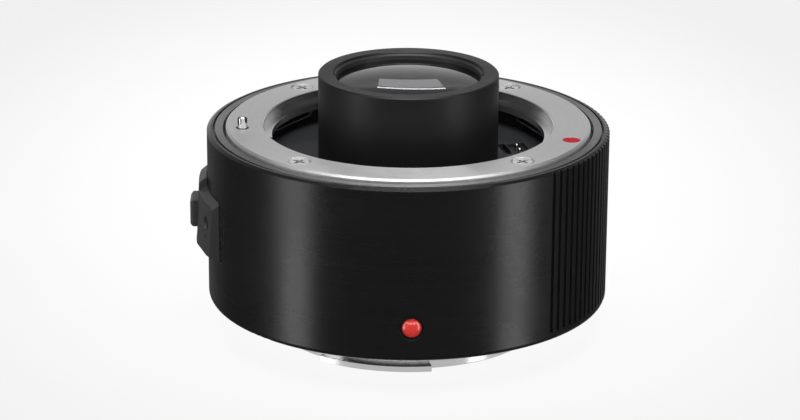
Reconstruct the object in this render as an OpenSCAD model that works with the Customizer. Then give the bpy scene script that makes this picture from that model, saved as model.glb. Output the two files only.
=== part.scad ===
/* [Body shell] */
// Outer diameter of the barrel
barrel_d = 71.8; // [71.6:0.1:74]
// Wall of the barrel
barrel_wall = 1.7; // [1.5:0.05:1.8]
// Height of the barrel's rear edge over the camera flange
barrel_rear = 0.6; // [0.4:0.05:0.7]
// Drop from the lens flange to the front trim ring
trim_drop = 0.6; // [0.5:0.02:0.66]
// Drop from the front trim ring to the barrel's front edge
rim_drop = 0.05; // [0:0.05:0.15]
// Fillet on the barrel's rear edge
rear_fillet = 0.9; // [0.5:0.1:1.2]
// Radial width of the bevel on the barrel's front edge
front_bevel = 0.65; // [0.6:0.05:0.8]
// Height of the bevel on the barrel's front edge
front_bevel_h = 0.35; // [0.3:0.05:0.5]
// Radial width of the barrel's front rim
rim_w = 1.05; // [1:0.05:1.15]
// Radial width of the front trim ring
trim_w = 1.4; // [1.2:0.05:1.45]
// Width of the groove around the front trim ring
trim_groove = 0.4; // [0.3:0.05:0.45]
// Number of grip grooves
grip_grooves = 35; // [27:2:37]
// Angle from one grip groove to the next
grip_pitch = 2.71; // [2.6:0.01:2.8]
// Angle of the middle of the grip grooves
grip_angle = 89; // [88:0.5:90]
// Radius of a grip groove
grip_r = 0.4; // [0.35:0.05:0.5]
// Depth of a grip groove
grip_depth = 0.55; // [0.4:0.05:0.6]
// Length of barrel left plain behind the grip grooves
grip_margin = 1.5; // [1.3:0.1:3]
// Diameter of the red index dome
dome_d = 3.4; // [3:0.1:3.6]
// Height of the index dome's centre over the camera flange
dome_height = 6.65; // [6:0.05:9]
// Height of the index dome's crown over its seat
dome_rise = 0.75; // [0.6:0.05:0.9]

/* [Lens mount] */
// Distance from the camera flange to the lens flange
flange_height = 32.25; // [32:0.05:33]
// Diameter of the throat
throat_d = 51.6; // [51.4:0.1:51.8]
// Outer diameter of the lens mount ring
lens_ring_d = 65; // [64:0.1:65.2]
// Thickness of the lens mount ring's flange
lens_ring_t = 2; // [1.9:0.05:2.2]
// Diameter inside the claws
claw_d = 48.6; // [48.4:0.1:48.8]
// Thickness of the claws
claw_t = 1.1; // [1:0.05:1.2]
// Radial width of the collar that carries the claws
collar_w = 1.6; // [1.5:0.05:1.7]
// Bevel on the lens mount ring's outer edge
ring_bevel = 0.35; // [0.2:0.05:0.5]
// Bevel on the throat's edge
throat_bevel = 0.2; // [0.1:0.05:0.3]
// Diameter of the circle of lens mount screws
lens_screw_circle_d = 58.4; // [58:0.1:59]
// Angle of the lens mount screws from the near and far sides
lens_screw_angle = 41; // [38:1:44]
// Diameter of a mount screw's head
screw_head_d = 3.9; // [3.6:0.1:4]
// Diameter of a mount screw's shank
screw_shank_d = 1.7; // [1.5:0.1:1.8]
// Length of a lens mount screw under its head
lens_screw_length = 2.9; // [2.6:0.1:3.2]
// How far a mount screw's head lies below the flange
screw_sink = 0.15; // [0.1:0.05:0.3]
// Diameter of the lens index dot
dot_d = 3.1; // [2.6:0.1:3.2]
// Diameter of the circle that the lens index dot lies on
dot_circle_d = 60.5; // [60.2:0.1:60.8]
// Angle of the lens index dot, which is also the mount's turn to its lock
dot_angle = 70; // [68:0.5:72]
// Depth of the lens index dot
dot_t = 0.25; // [0.2:0.05:0.4]
// Thickness of the bayonet's leaf springs
leaf_t = 0.25; // [0.2:0.05:0.3]
// How far a leaf spring bows below the claws
leaf_bow = 0.95; // [0.8:0.05:1]
// Depth of the well floor below the lens flange
well_depth = 6.05; // [6:0.05:6.4]

/* [Camera mount] */
// Outer diameter of the camera mount's flange
camera_ring_d = 62; // [61.6:0.1:62.2]
// Thickness of the camera mount's flange
camera_ring_t = 1.9; // [1.8:0.05:2.1]
// Length of the camera mount's neck behind its flange
neck_length = 5.36; // [5.3:0.02:5.4]
// Wall of the camera mount's neck
neck_wall = 1.2; // [1.1:0.05:1.25]
// Thickness of a bayonet lug
lug_t = 1; // [0.9:0.05:1.1]
// Angle that a bayonet lug covers
lug_angle = 28.6; // [26:0.2:29]
// Angle that the wide bayonet lug covers
wide_lug_angle = 46.5; // [44:0.5:48]
// Length of the camera mount's locating register
register_length = 1.7; // [1.5:0.1:1.8]
// Gap between a mount's locating diameters
mount_gap = 0.1; // [0.08:0.01:0.14]
// Diameter of the circle of camera mount screws
camera_screw_circle_d = 57; // [56.8:0.1:57.2]
// Length of a camera mount screw under its head
camera_screw_length = 2.6; // [2.4:0.1:2.8]
// Thickness of the rear seal
seal_t = 1.05; // [0.9:0.05:1.1]

/* [Frame] */
// Wall of the main frame
frame_wall = 1.4; // [1.3:0.05:1.5]
// Thickness of the frame's seat under the lens mount ring
frame_seat_t = 2.85; // [2.8:0.05:3]
// Thickness of the well floor
floor_t = 1.5; // [1.4:0.05:1.7]
// Thickness of the frame's rear flange
frame_rear_t = 2.5; // [2.4:0.1:2.8]
// Gap between parts that are fixed in one another
fixed_gap = 0.05; // [0.04:0.01:0.06]

/* [Optics] */
// Outer diameter of the front lens tube
tube_d = 32.1; // [31.8:0.1:32.4]
// Height of the front lens tube over the lens flange
tube_proud = 9.3; // [9.2:0.05:9.4]
// Bore of the front lens tube
front_bore_d = 26.6; // [26.5:0.05:26.7]
// Bore of the rear lens tube
rear_bore_d = 24; // [23.8:0.1:24.1]
// Wall of the rear lens tube
rear_tube_wall = 1.6; // [1.5:0.05:1.7]
// How far the rear lens tube reaches behind the camera flange
rear_tube_reach = 1.5; // [1.2:0.1:1.6]
// Diameter of the stop between the two lens bores
stop_d = 21; // [20:0.5:21]
// Depth of the front bore
front_bore_depth = 11.8; // [11.75:0.05:12]
// Length of the stop
stop_length = 4.5; // [4.4:0.1:4.7]
// Edge break on the front lens tube
tube_bevel = 0.25; // [0.15:0.05:0.3]
// Clear diameter of the front retaining ring
front_clear_d = 25.7; // [25.5:0.1:25.8]
// Height of the front retaining ring
front_ring_h = 1.1; // [1:0.02:1.2]
// Curve radius of the front element's front face
front_face_r = 70; // [68:1:80]
// Curve radius of the front element's hollow rear face
front_back_r = 120; // [110:2:140]
// Centre thickness of the front element
front_element_t = 2.85; // [2.75:0.05:2.9]
// Height of the front spacer
front_spacer_h = 3.5; // [3.45:0.05:3.55]
// Curve radius of the front doublet's front face
doublet_face_r = 40; // [39:0.5:42]
// Curve radius of the front doublet's cemented face
doublet_cement_r = 45; // [44:0.5:48]
// Centre thickness of the front doublet's convex glass
doublet_front_t = 5.4; // [5.3:0.05:5.45]
// Centre thickness of the front doublet's hollow glass
doublet_rear_t = 1.1; // [1.05:0.05:1.15]
// Curve radius of the triplet's hollow front face
triplet_face_r = 70; // [66:1:80]
// Curve radius of the triplet's front cemented face
triplet_front_r = 25; // [24.5:0.5:27]
// Curve radius of the triplet's rear cemented face
triplet_rear_r = 30; // [29:0.5:32]
// Curve radius of the triplet's hollow rear face
triplet_back_r = 50; // [48:1:56]
// Centre thickness of the triplet's front glass
triplet_front_t = 1.6; // [1.5:0.05:1.7]
// Centre thickness of the triplet's middle glass
triplet_middle_t = 7.2; // [7.1:0.05:7.3]
// Centre thickness of the triplet's rear glass
triplet_rear_t = 1.75; // [1.7:0.05:1.8]
// Height of the rear spacer
rear_spacer_h = 3; // [2.9:0.05:3.1]
// Curve radius of the rear doublet's front face
rear_face_r = 35; // [34:0.5:37]
// Curve radius of the rear doublet's cemented face
rear_cement_r = 60; // [58:1:64]
// Curve radius of the rear doublet's hollow rear face
rear_back_r = 90; // [86:1:100]
// Centre thickness of the rear doublet's convex glass
rear_front_t = 6; // [5.95:0.05:6.1]
// Centre thickness of the rear doublet's hollow glass
rear_rear_t = 1.8; // [1.75:0.05:1.85]
// Height of the rear retaining ring
rear_ring_h = 1.7; // [1.5:0.05:1.8]
// Gap left between glass faces and what they sit on
glass_gap = 0.02; // [0.02:0.005:0.03]
// Width of the flat land around a hollow glass face
glass_land = 0.3; // [0.2:0.05:0.35]

/* [Contacts] */
// Angle from one contact to the next
contact_pitch = 7.25; // [7:0.05:7.4]
// Angle of the middle of the row of contacts
contact_angle = 70; // [69:0.5:71]
// Diameter of the circle that the contact pins stand on
contact_circle_d = 40.4; // [40.2:0.1:40.6]
// Diameter of a contact pin
contact_d = 0.75; // [0.7:0.01:0.8]
// Height of a contact pin's tip over its block
contact_proud = 1.2; // [1.1:0.05:1.3]
// Travel of a contact pin
contact_travel = 0.7; // [0.6:0.05:0.8]
// Running gap around a contact pin
contact_gap = 0.05; // [0.04:0.01:0.06]
// Diameter of a contact pin's collar
contact_collar_d = 1.4; // [1.3:0.05:1.4]
// Height of a contact pin's collar
contact_collar_h = 0.5; // [0.4:0.05:0.5]
// Depth of the contact block's face below the well floor
block_drop = 0.5; // [0.4:0.05:0.55]
// Thickness of the circuit board
board_t = 0.8; // [0.7:0.05:0.9]

/* [Release] */
// Travel of the release knob and the lock pin
release_travel = 2.2; // [2:0.1:2.3]
// Width of the release knob
knob_w = 5.5; // [5.2:0.1:5.8]
// Height of the release knob
knob_h = 4.9; // [4.7:0.1:5.1]
// Height of the release knob's middle over the camera flange
knob_height = 16.05; // [15.9:0.05:16.2]
// How far the release knob stands out of the barrel
knob_proud = 3.1; // [3:0.05:3.3]
// Width of the knob's stem
stem_w = 4; // [3.6:0.1:4.4]
// Height of the knob's stem
stem_h = 3; // [2.8:0.1:3.2]
// Gap around the knob and its stem
slide_gap = 0.3; // [0.25:0.01:0.35]
// How far the guard stands out of the barrel at its middle
guard_proud = 1.85; // [1.75:0.05:1.95]
// Lean of the guard's outer face, from its lower edge to its upper one
guard_lean = 0.8; // [0.6:0.1:1]
// Curve radius of the guard's outer face
guard_face_r = 34.5; // [34:0.5:36]
// Width of the guard across its wings
guard_w = 26.8; // [26.4:0.2:27.4]
// Height of the guard's wings
wing_h = 11.1; // [10.8:0.1:11.3]
// Height of the guard's lower edge at its middle over the camera flange
guard_low = 8.3; // [8.1:0.1:8.5]
// Height of the guard's upper edge at its middle over the camera flange
guard_high = 23.1; // [23:0.05:23.3]
// Width of the guard's taller middle
guard_middle_w = 7.5; // [7.2:0.1:7.8]
// Distance of a guard screw from the guard's middle
guard_screw_y = 11; // [10.8:0.1:11.4]
// Diameter of the lock pin
pin_d = 1.75; // [1.65:0.05:1.85]
// Height of the lock pin over the lens flange
pin_proud = 2.1; // [2:0.05:2.2]
// Diameter of the circle that the lock pin stands on
pin_circle_d = 59.2; // [59.2:0.05:59.4]
// Angle of the lock pin
pin_angle = -84; // [-84.5:0.25:-83.5]
// Running gap around the lock pin
pin_gap = 0.05; // [0.04:0.01:0.06]
// Thickness of the release carrier
carrier_t = 0.8; // [0.7:0.05:0.85]
// Wire diameter of the release spring
spring_wire_d = 0.4; // [0.35:0.01:0.4]
// Number of turns of the release spring
spring_turns = 9; // [7:1:9]

/* [Hidden] */
$fn = 128;

// Small overlap that carries a cut past a face
cut = 1;
black = [0.05, 0.05, 0.055];
metal = [0.72, 0.73, 0.74];
brass = [0.85, 0.68, 0.3];
glass_tint = [0.6, 0.65, 0.8, 0.5];

// Barrel and trim
barrel_r = barrel_d / 2;
bore_r = barrel_r - barrel_wall;
trim_z = flange_height - trim_drop;
front_z = trim_z - rim_drop;
trim_seat_r = barrel_r - rim_w;
trim_r = trim_seat_r - trim_groove;
trim_foot_h = 0.65;
seat_z = flange_height - lens_ring_t;
lip_z = camera_ring_t;
lip_gap = 0.15;
lip_r = camera_ring_d / 2 + lip_gap;
seal_wall = 0.3;
seal_r = bore_r - seal_wall;
seal_recess = 0.6;
seal_z = barrel_rear + seal_recess;
barrel_screw_r = (lip_r + seal_r) / 2;
barrel_screw_angles = [60, 180, 300];
barrel_head_h = 0.4;
barrel_screw_length = 2.4;
dome_seat_depth = 0.45;
dome_seat_y = -barrel_r + dome_seat_depth;
dome_gap = 0.4;

// Lens mount
throat_r = throat_d / 2;
claw_r = claw_d / 2;
claw_z = seat_z - claw_t;
collar_r = throat_r + collar_w;
lens_ring_r = lens_ring_d / 2;
lens_screw_r = lens_screw_circle_d / 2;
lens_screw_angles = [for (side = [0, 180], turn = [-1, 1]) side + turn * lens_screw_angle];
head_cone_h = 1.05;
head_gap = 0.2;
dot_drop = 0.03;
dot_r = dot_circle_d / 2;
leaf_z = claw_z - leaf_t;
leaf_angles = [-122.5, -3, 113];
leaf_flat = 11;
leaf_run = 1.5;
leaf_tab = 1.2;
leaf_w = 0.9;
leaf_skin = 0.02;
leaf_set = 0.2;

// Camera mount
camera_ring_r = camera_ring_d / 2;
neck_r = claw_r - mount_gap;
neck_in_r = neck_r - neck_wall;
register_r = throat_r - mount_gap;
lug_step = 0.05;
lug_r = register_r - lug_step;
lug_angles = [-14.75, 86.5, 131, 222];
claw_turn = -1.5;
lug_spans = [wide_lug_angle, lug_angle, lug_angle, lug_angle];
claw_spare = 1;
neck_bevel = 0.2;
camera_screw_r = camera_screw_circle_d / 2;
camera_screw_angles = [45, 135, 225, 315];
pin_slot_gap = 0.3;
pin_slot_d = pin_d + 2 * pin_slot_gap;
pin_slot_depth = 1.2;

// Main frame
frame_r = bore_r - 2 * fixed_gap;
frame_in_r = frame_r - frame_wall;
frame_seat_z = seat_z - frame_seat_t;
well_z = flange_height - well_depth;
floor_z = well_z - floor_t;
well_gap = 0.75;
well_wall = 1.5;
well_r = lug_r + well_gap;
well_wall_r = well_r + well_wall;
frame_hole_gap = 0.8;
frame_hole_r = register_r + frame_hole_gap;
frame_rear_z = lip_z + frame_rear_t;

// Lens tube
tube_r = tube_d / 2;
tube_z = flange_height + tube_proud;
front_bore_r = front_bore_d / 2;
rear_bore_r = rear_bore_d / 2;
stop_r = stop_d / 2;
shoulder_z = tube_z - front_bore_depth;
stop_z = shoulder_z - stop_length;
rear_tube_r = rear_bore_r + rear_tube_wall;
tube_step = 1.45;
tube_neck_r = tube_r - tube_step;
lock_ring_h = 2;
lock_ring_w = 3.2;
lock_ring_r = tube_neck_r + lock_ring_w;
lock_slot = 2;
lock_slot_depth = 0.9;
tube_neck_spare = 0.7;
tube_neck_z = floor_z - lock_ring_h - tube_neck_spare;
floor_hole_r = tube_neck_r + fixed_gap;

// Front glass, stacked upwards from the shoulder
glass_r = front_bore_r - fixed_gap;
front_clear_r = front_clear_d / 2;
doublet_cement_z = shoulder_z + glass_gap + doublet_rear_t;
doublet_back_z = doublet_cement_z + glass_gap;
doublet_face_z = doublet_back_z + doublet_front_t;
front_spacer_r = front_clear_r - fixed_gap;
front_spacer_z = doublet_face_z - sag(front_spacer_r, doublet_face_r) + glass_gap;
front_edge_z = front_spacer_z + front_spacer_h + glass_gap;
front_back_z = front_edge_z + sag(glass_r - glass_land, front_back_r);
front_face_z = front_back_z + front_element_t;
front_ring_z = front_face_z - sag(front_clear_r, front_face_r) + glass_gap;
ring_land = 0.1;
ring_cone = 0.05;
ring_cone_h = 0.3;
spanner_slot = [0.9, 2, 0.6];
spanner_angles = [90, 270];

// Rear glass, stacked downwards from the stop
rear_glass_r = rear_bore_r - fixed_gap;
rear_ring_w = 1.4;
rear_clear_r = rear_bore_r - rear_ring_w;
triplet_face_z = stop_z - glass_gap - sag(rear_glass_r - glass_land, triplet_face_r);
triplet_joint_z = triplet_face_z - triplet_front_t;
triplet_middle_z = triplet_joint_z - glass_gap;
triplet_middle_back_z = triplet_middle_z - triplet_middle_t;
triplet_rear_z = triplet_middle_back_z - glass_gap;
triplet_back_z = triplet_rear_z - triplet_rear_t;
rear_spacer_top_z = triplet_back_z - sag(rear_glass_r - glass_land, triplet_back_r) - glass_gap;
rear_spacer_z = rear_spacer_top_z - rear_spacer_h;
rear_face_z = rear_spacer_z - glass_gap + sag(rear_clear_r, rear_face_r);
rear_joint_z = rear_face_z - rear_front_t;
rear_rear_z = rear_joint_z - glass_gap;
rear_back_z = rear_rear_z - rear_rear_t;
rear_ring_top_z = rear_back_z - sag(rear_glass_r - glass_land, rear_back_r) - glass_gap;

// Front contacts
contacts = 10;
contact_r = contact_circle_d / 2;
row_half = (contacts - 1) / 2 * contact_pitch;
contact_angles = [for (i = [0:contacts - 1]) contact_angle + row_half - i * contact_pitch];
block_inner = 1.3;
block_outer = 1.8;
block_in_r = contact_r - block_inner;
block_out_r = contact_r + block_outer;
block_end_angle = 5.4;
block_half = row_half + block_end_angle;
block_gap_angle = 0.2;
block_top_z = well_z - block_drop;
block_ear_angle = 12;
block_foot_half = block_half + block_ear_angle;
block_foot_h = 1.9;
block_foot_w = 0.5;
block_foot_z = floor_z - block_foot_h;
block_foot_in_r = block_in_r - block_foot_w;
chamber_gap = 0.1;
chamber_r = contact_collar_d / 2 + chamber_gap;
chamber_roof = 0.8;
chamber_top_z = block_top_z - chamber_roof;
stop_gap = 0.02;
collar_top_z = chamber_top_z - stop_gap;
contact_spring_gap = 0.05;
contact_spring_wall = 0.2;
collar_z = collar_top_z - contact_collar_h;
board_z = block_foot_z - board_t;
board_in_r = block_foot_in_r;
board_w = 6.6;
board_out_r = board_in_r + board_w;
board_from = 15;
board_to = 200;
board_screw_r = contact_r;
board_boss_angle = 186;
board_boss_d = 3.2;
ear_screw_angle = block_half + block_ear_angle / 2;
board_screw_angles = [contact_angle - ear_screw_angle, contact_angle + ear_screw_angle, board_boss_angle];
small_head_d = 2.2;
small_head_h = 0.6;
small_shank_d = 1.1;
board_screw_length = 3.6;
floor_slot_w = 1.5;
floor_slot_wall = 0.3;
floor_slot_depth = 1.1;
floor_slot_r = block_in_r - floor_slot_wall;
floor_slot_angle = 100.8;
floor_slot_half = 9.5;
chip_w = 5;
chip_h = 1.1;
chip_angle = 150;
capacitor_size = [2, 1.2, 0.9];
capacitor_angles = [128, 134, 166, 172];

// Rear contacts and baffle
skirt_r = neck_in_r - 2 * fixed_gap;
skirt_wall = 0.95;
skirt_in_r = skirt_r - skirt_wall;
baffle_recess = 1.16;
baffle_z = -neck_length + baffle_recess;
baffle_t = 1;
baffle_top_z = baffle_z + baffle_t;
baffle_flange_gap = 0.2;
baffle_flange_r = frame_hole_r - baffle_flange_gap;
baffle_flange_t = 1;
baffle_window = [28, 21];
baffle_window_r = 4;
pad_recess = 0.36;
pad_proud = 0.05;
pad_z = -neck_length + pad_recess;
rear_block_z = pad_z + pad_proud;
rear_block_inner = 1.5;
rear_block_in_r = contact_r - rear_block_inner;
rear_block_out_r = skirt_in_r - fixed_gap;
rear_end_angle = 6;
rear_ear_angle = 11;
rear_ear_h = 1.2;
rear_block_half = row_half + rear_end_angle;
rear_ear_half = rear_block_half + rear_ear_angle;
rear_block_top_z = baffle_top_z + rear_ear_h;
rear_screw_length = 2.1;
pad_size = [1.8, 1.5, 0.5];
rear_screw_angle = rear_block_half + rear_ear_angle / 2;
rear_block_screw_angles = [contact_angle - rear_screw_angle, contact_angle + rear_screw_angle];
baffle_screw_r = (skirt_r + baffle_flange_r) / 2;
baffle_screw_angles = [10, 130, 250];
baffle_screw_length = 2.4;
flex_t = 0.2;
flex_half = 9;

// Release
knob_face_x = -barrel_r - knob_proud;
knob_lift = 0.15;
knob_back_x = -barrel_r - knob_lift;
knob_round = 0.7;
knob_edge = 0.45;
slot_w = stem_w + 2 * slide_gap;
slot_top_z = knob_height + stem_h / 2 + slide_gap;
slot_z = knob_height - stem_h / 2 - release_travel - slide_gap;
window_top_z = knob_height + knob_h / 2 + slide_gap;
window_z = knob_height - knob_h / 2 - release_travel - slide_gap;
guard_r = barrel_r + fixed_gap;
guard_face_x = -barrel_r - guard_proud;
wing_roof = 2.9;
wing_z = window_top_z + wing_roof - wing_h;
wing_top_z = wing_z + wing_h;
wing_reach = 4;
wing_low_rise = 2;
wing_top_fall = 2.6;
wing_bevel = 0.55;
guard_centre_x = guard_face_x + guard_face_r;
guard_edge = 0.2;
guard_edge_x = -barrel_r - guard_edge;
guard_lower_bevel = 2.4;
guard_upper_bevel = 1.4;
guard_screw_rise = 0.95;
guard_screw_z = knob_height + guard_screw_rise;
guard_screw_recess = 1;
guard_hole_d = 0.9;
guard_hole_drop = 2.6;
guard_hole_depth = 1;
guard_screw_spare = 0.4;
guard_screw_face_x = guard_centre_x - sqrt(guard_face_r ^ 2 - guard_screw_y ^ 2);
guard_screw_seat_x = guard_screw_face_x + guard_screw_recess;
guard_screw_end_x = -sqrt((frame_in_r + guard_screw_spare) ^ 2 - guard_screw_y ^ 2);
pin_r = pin_d / 2;
pin_bore_r = pin_r + pin_gap;
pin_x = pin_circle_d / 2 * sin(pin_angle);
pin_y = -pin_circle_d / 2 * cos(pin_angle);
pin_top_z = flange_height + pin_proud;
pin_bevel = 0.2;
pin_collar_w = 0.4;
pin_collar_r = pin_r + pin_collar_w;
pin_collar_h = 0.65;
pin_collar_z = frame_seat_z - fixed_gap - pin_collar_h;
carrier_gap = 0.6;
carrier_x = -frame_in_r + carrier_gap;
carrier_tab_w = 3;
carrier_y = [pin_y - carrier_tab_w / 2, 4];
carrier_top_z = pin_collar_z;
carrier_foot = 1.2;
carrier_low_z = knob_height - stem_h / 2 - carrier_foot;
carrier_tab_wall = 0.45;
carrier_reach_x = pin_x + pin_r + carrier_tab_wall;
carrier_screw_y = 0.8;
carrier_screw_length = 2.5;
clip_h = 0.5;
clip_w = 0.6;
clip_r = pin_r + clip_w;
clip_z = carrier_top_z - carrier_t - clip_h;
shelf_gap = 0.5;
shelf_top_z = carrier_low_z - release_travel - shelf_gap;
shelf_h = 2;
shelf_w = 5;
shelf_reach = 2;
shelf_reach_x = pin_x + shelf_reach;
pin_tail = 1;
pin_low_z = shelf_top_z - shelf_h - pin_tail;
spring_gap = 0.2;
spring_r = pin_r + spring_gap + spring_wire_d / 2;
spring_low_z = shelf_top_z + stop_gap;
spring_height = clip_z - stop_gap - spring_low_z;
spring_pitch = (spring_height - spring_wire_d) / spring_turns;
spring_rings = 16;
spring_sides = 6;
echo(release_spring_gap = spring_pitch - spring_wire_d);

// Depth of a curved face at a distance from its axis
function sag(distance, curve) = curve - sqrt(curve ^ 2 - distance ^ 2);

// Angles at which a lug starts and ends
function lug_start(i) = lug_angles[i] - lug_spans[i] / 2;
function lug_end(i) = lug_angles[i] + lug_spans[i] / 2;

// Start of the lug that follows another, counted on past a full turn
function next_lug_start(i) = i + 1 < len(lug_angles) ? lug_start(i + 1) : lug_start(0) + 360;

// Angles run from the near side, through the right side, to the far side
module at(radius, angle) {
    translate([radius * sin(angle), -radius * cos(angle), 0]) rotate([0, 0, angle]) children();
}

module tube(outer, inner, low, high) {
    translate([0, 0, low]) difference() {
        cylinder(r = outer, h = high - low);
        translate([0, 0, -cut]) cylinder(r = inner, h = high - low + 2 * cut);
    }
}

module sector(inner, outer, from, to, low, high) {
    translate([0, 0, low]) rotate([0, 0, from - 90])
        rotate_extrude(angle = to - from) translate([inner, 0]) square([outer - inner, high - low]);
}

// A hole for a small screw, a little longer than asked at both ends
module small_hole(low, high) {
    rod(small_shank_d / 2 + fixed_gap, low - fixed_gap, high + fixed_gap);
}

module rod(radius, low, high) {
    translate([0, 0, low]) cylinder(r = radius, h = high - low, $fn = 48);
}

// A lens on the axis: a positive curve swells out of the glass, a negative one is hollow, zero is flat
module lens(radius, face_z, back_z, face_curve, back_curve) {
    land_r = radius - glass_land;
    top_z = face_z + (face_curve < 0 ? sag(land_r, -face_curve) : 0);
    low_z = back_z - (back_curve < 0 ? sag(land_r, -back_curve) : 0);
    difference() {
        translate([0, 0, low_z]) cylinder(r = radius, h = top_z - low_z);
        if (face_curve > 0) outside_ball(radius, face_z - face_curve, face_curve, face_z - face_curve);
        if (face_curve < 0) translate([0, 0, face_z - face_curve]) sphere(r = -face_curve, $fn = 256);
        if (back_curve > 0) outside_ball(radius, back_z + back_curve, back_curve, back_z - cut);
        if (back_curve < 0) translate([0, 0, back_z + back_curve]) sphere(r = -back_curve, $fn = 256);
    }
}

// What lies outside a ball on one side of its middle
module outside_ball(radius, centre_z, ball_r, low_z) {
    difference() {
        translate([0, 0, low_z]) cylinder(r = radius + cut, h = ball_r + cut);
        translate([0, 0, centre_z]) sphere(r = ball_r, $fn = 256);
    }
}

// A countersunk screw whose head top is at zero and whose shank points down
module countersunk_screw(length) {
    difference() {
        union() {
            translate([0, 0, -head_cone_h])
                cylinder(r1 = screw_shank_d / 2, r2 = screw_head_d / 2, h = head_cone_h, $fn = 64);
            rod(screw_shank_d / 2, -head_cone_h - length, -head_cone_h);
        }
        cross_recess(screw_head_d * 0.6, 0.45, 0.7);
    }
}

module cross_recess(span, slot, depth) {
    for (turn = [0, 90])
        rotate([0, 0, turn]) translate([-span / 2, -slot / 2, -depth]) cube([span, slot, depth + cut]);
}

// The hole for a countersunk screw below a flange at zero
module countersunk_hole(depth) {
    shank_r = screw_shank_d / 2 + fixed_gap;
    head_r = screw_head_d / 2 + fixed_gap;
    translate([0, 0, -screw_sink - head_cone_h])
        cylinder(r1 = shank_r, r2 = head_r, h = head_cone_h, $fn = 64);
    rod(screw_head_d / 2 + head_gap, -screw_sink, cut);
    rod(shank_r, -depth, -screw_sink);
}

// A small pan head screw whose head sits on zero and whose shank points up
module pan_screw(length, head_h) {
    difference() {
        union() {
            rod(small_head_d / 2, -head_h, 0);
            rod(small_shank_d / 2, -cut / 10, length);
        }
        translate([0, 0, -head_h]) mirror([0, 0, 1]) cross_recess(small_head_d * 0.6, 0.3, head_h / 2);
    }
}

module barrel_profile() {
    difference() {
        union() {
            translate([lip_r, barrel_rear]) square([barrel_r - rear_fillet - lip_r, rear_fillet]);
            translate([barrel_r - rear_fillet, barrel_rear + rear_fillet]) circle(r = rear_fillet);
            translate([lip_r, barrel_rear + rear_fillet])
                square([barrel_r - lip_r, front_z - barrel_rear - rear_fillet]);
        }
        translate([lip_r - cut, lip_z]) square([bore_r - lip_r + cut, front_z]);
        translate([lip_r - cut, seat_z + trim_foot_h]) square([trim_seat_r - lip_r + cut, front_z]);
        translate([lip_r - cut, barrel_rear - cut])
            square([seal_r - lip_r + cut, seal_z - barrel_rear + cut]);
        polygon([[barrel_r - front_bevel, front_z], [barrel_r, front_z - front_bevel_h],
            [barrel_r + cut, front_z - front_bevel_h], [barrel_r + cut, front_z + cut],
            [barrel_r - front_bevel, front_z + cut]]);
    }
}

module barrel() {
    color(black) difference() {
        rotate_extrude() barrel_profile();
        for (i = [0:grip_grooves - 1])
            at(barrel_r + grip_r - grip_depth, grip_angle + (i - (grip_grooves - 1) / 2) * grip_pitch)
                rod(grip_r, barrel_rear + grip_margin, front_z + cut);
        translate([0, dome_seat_y, dome_height]) rotate([90, 0, 0]) rod(dome_d / 2 + dome_gap, 0, cut);
        release_slot();
        for (side = [-1, 1]) guard_screw_hole(side);
        for (angle = barrel_screw_angles) at(barrel_screw_r, angle) {
            rod(small_head_d / 2 + fixed_gap, barrel_rear, seal_z + barrel_head_h);
            small_hole(seal_z, lip_z);
        }
    }
}

module release_slot() {
    translate([-barrel_r - cut, -slot_w / 2, slot_z]) cube([barrel_r / 3, slot_w, slot_top_z - slot_z]);
}

module guard_screw_hole(side) {
    translate([0, side * guard_screw_y, guard_screw_z]) rotate([0, 90, 0])
        small_hole(guard_screw_face_x - guard_proud, guard_screw_end_x);
}

module front_trim_ring() {
    foot_r = bore_r - fixed_gap;
    step_z = seat_z + trim_foot_h;
    inner_r = trim_r - trim_w;
    color(black) rotate_extrude() polygon([[inner_r, seat_z], [foot_r, seat_z], [foot_r, step_z],
        [trim_r, step_z], [trim_r, trim_z], [inner_r, trim_z]]);
}

module index_dome() {
    ball_r = ((dome_d / 2) ^ 2 + dome_rise ^ 2) / (2 * dome_rise);
    color([0.75, 0.03, 0.03]) intersection() {
        translate([0, dome_seat_y, dome_height]) rotate([90, 0, 0]) rod(dome_d / 2, 0, dome_rise);
        translate([0, dome_seat_y - dome_rise + ball_r, dome_height]) sphere(r = ball_r);
    }
}

// Between two claws the throat stays open, so that a lug can enter before the mount turns to its lock
module lens_mount_ring() {
    color(metal) difference() {
        union() {
            rotate_extrude() polygon([[throat_r, claw_z], [collar_r, claw_z], [collar_r, seat_z],
                [lens_ring_r, seat_z], [lens_ring_r, flange_height - ring_bevel],
                [lens_ring_r - ring_bevel, flange_height], [throat_r + throat_bevel, flange_height],
                [throat_r, flange_height - throat_bevel]]);
            for (i = [0:len(lug_angles) - 1])
                sector(claw_r, throat_r + collar_w / 2, lug_end(i) + dot_angle + claw_turn + claw_spare,
                    next_lug_start(i) + dot_angle + claw_turn - claw_spare, claw_z, seat_z);
        }
        for (angle = lens_screw_angles) at(lens_screw_r, angle)
            translate([0, 0, flange_height]) countersunk_hole(lens_ring_t + cut);
        at(pin_circle_d / 2, pin_angle) rod(pin_r + slide_gap, seat_z - cut, flange_height + cut);
        at(dot_r, dot_angle) rod(dot_d / 2 + glass_gap, flange_height - dot_t, flange_height + cut);
    }
}

module lens_mount_screws() {
    color(metal) for (angle = lens_screw_angles) at(lens_screw_r, angle)
        translate([0, 0, flange_height - screw_sink]) countersunk_screw(lens_screw_length);
}

module lens_index_dot() {
    color([0.8, 0.04, 0.05]) at(dot_r, dot_angle)
        rod(dot_d / 2, flange_height - dot_t, flange_height - dot_drop);
}

module bayonet_springs() {
    color(metal) union() {
        tube(collar_r - fixed_gap, throat_r + leaf_set / 2, leaf_z, claw_z);
        for (angle = leaf_angles) leaf(angle);
    }
}

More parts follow.
